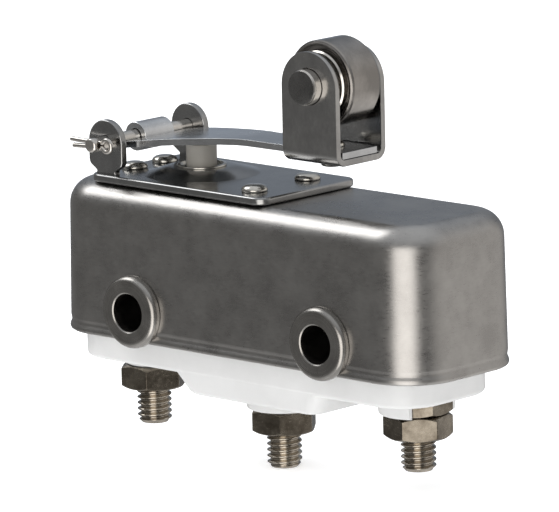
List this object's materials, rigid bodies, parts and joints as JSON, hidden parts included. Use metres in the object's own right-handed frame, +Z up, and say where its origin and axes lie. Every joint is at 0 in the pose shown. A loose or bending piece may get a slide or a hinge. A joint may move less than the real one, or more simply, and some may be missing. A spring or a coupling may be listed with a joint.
{
  "type": "limit switch",
  "caption": "Enclosed basic limit switch with ceramic terminal base, flanged mounting bushes, threaded terminals and a short hinged lever with a steel roller.",
  "frame": {"origin": "centre of the bounding box's bottom, under the middle of the can, level with the end of the middle terminal stud", "axes": "+X along the can from the hinge end to the roller end, +Y across the can towards its rear face, +Z up towards the lever"},
  "size_m": [0.0498, 0.019, 0.0441],
  "materials": {
    "can_steel": "satin deep-drawn stainless",
    "bush_steel": "turned stainless, concentric marks",
    "plate_steel": "rolled stainless sheet, dark satin",
    "lever_steel": "rolled stainless sheet",
    "roller_steel": "turned stainless",
    "pin_steel": "dark stainless",
    "terminal_nickel": "warm nickel plate",
    "contact_silver": "silver",
    "spring_alloy": "beryllium copper",
    "ceramic": "white glazed ceramic",
    "plunger_ceramic": "warm grey ceramic"
  },
  "bodies": {
    "base": {"case_shell": "can_steel", "mounting_bush_left": "bush_steel", "mounting_bush_right": "bush_steel", "hinge_plate": "plate_steel", "plate_rivet_1": "plate_steel", "plate_rivet_2": "plate_steel", "plate_rivet_3": "plate_steel", "plate_rivet_4": "plate_steel", "plunger_guide": "plate_steel", "hinge_pin": "pin_steel", "cotter_pin": "pin_steel", "terminal_stud_common": "terminal_nickel", "terminal_stud_no": "terminal_nickel", "terminal_stud_nc": "terminal_nickel", "terminal_nut_common": "terminal_nickel", "terminal_nut_no": "terminal_nickel", "terminal_nut_nc": "terminal_nickel", "terminal_locknut_nc": "terminal_nickel", "common_anchor": "terminal_nickel", "no_strip": "terminal_nickel", "nc_strip": "terminal_nickel", "no_contact": "contact_silver", "nc_contact": "contact_silver", "terminal_base": "ceramic", "contact_cover": "ceramic"},
    "lever": {"lever": "lever_steel", "lever_rivet": "lever_steel", "roller_bracket": "lever_steel", "roller_pin": "pin_steel", "roller_spacer": "pin_steel"},
    "roller": {"roller": "roller_steel", "roller_hub": "roller_steel"},
    "plunger": {"plunger": "plunger_ceramic"},
    "blade": {"contact_blade": "spring_alloy", "moving_contact": "contact_silver"},
    "tongue": {"snap_tongue": "spring_alloy"}
  },
  "joints": [
    {"name": "lever_hinge", "type": "hinge", "parent": "base", "child": "lever", "pos_m": [-0.0183, 0, 0.03185], "axis": [0, 1, 0], "range_deg": [0, 7], "stiffness_Nm_per_rad": 0.25, "springref_deg": -2.86},
    {"name": "roller_spin", "type": "hinge", "parent": "lever", "child": "roller", "pos_m": [0.007, 0, 0.0397], "axis": [0, 1, 0], "continuous": true},
    {"name": "plunger_slide", "type": "slide", "parent": "base", "child": "plunger", "axis": [0, 0, -1], "range_m": [0, 0.000903]},
    {"name": "blade_swing", "type": "hinge", "parent": "base", "child": "blade", "pos_m": [-0.016, 0, 0.0216], "axis": [0, 1, 0], "range_deg": [0, 1.72]},
    {"name": "tongue_bend", "type": "hinge", "parent": "base", "child": "tongue", "pos_m": [-0.016, 0, 0.0216], "axis": [0, 1, 0], "range_deg": [0, 11.4]}
  ],
  "couplings": [
    {"joint": "plunger_slide", "follows": "lever_hinge", "m_per_rad": 0.00725},
    {"joint": "blade_swing", "follows": "lever_hinge", "ratio": 0.24286},
    {"joint": "tongue_bend", "follows": "lever_hinge", "ratio": 1.6}
  ]
}
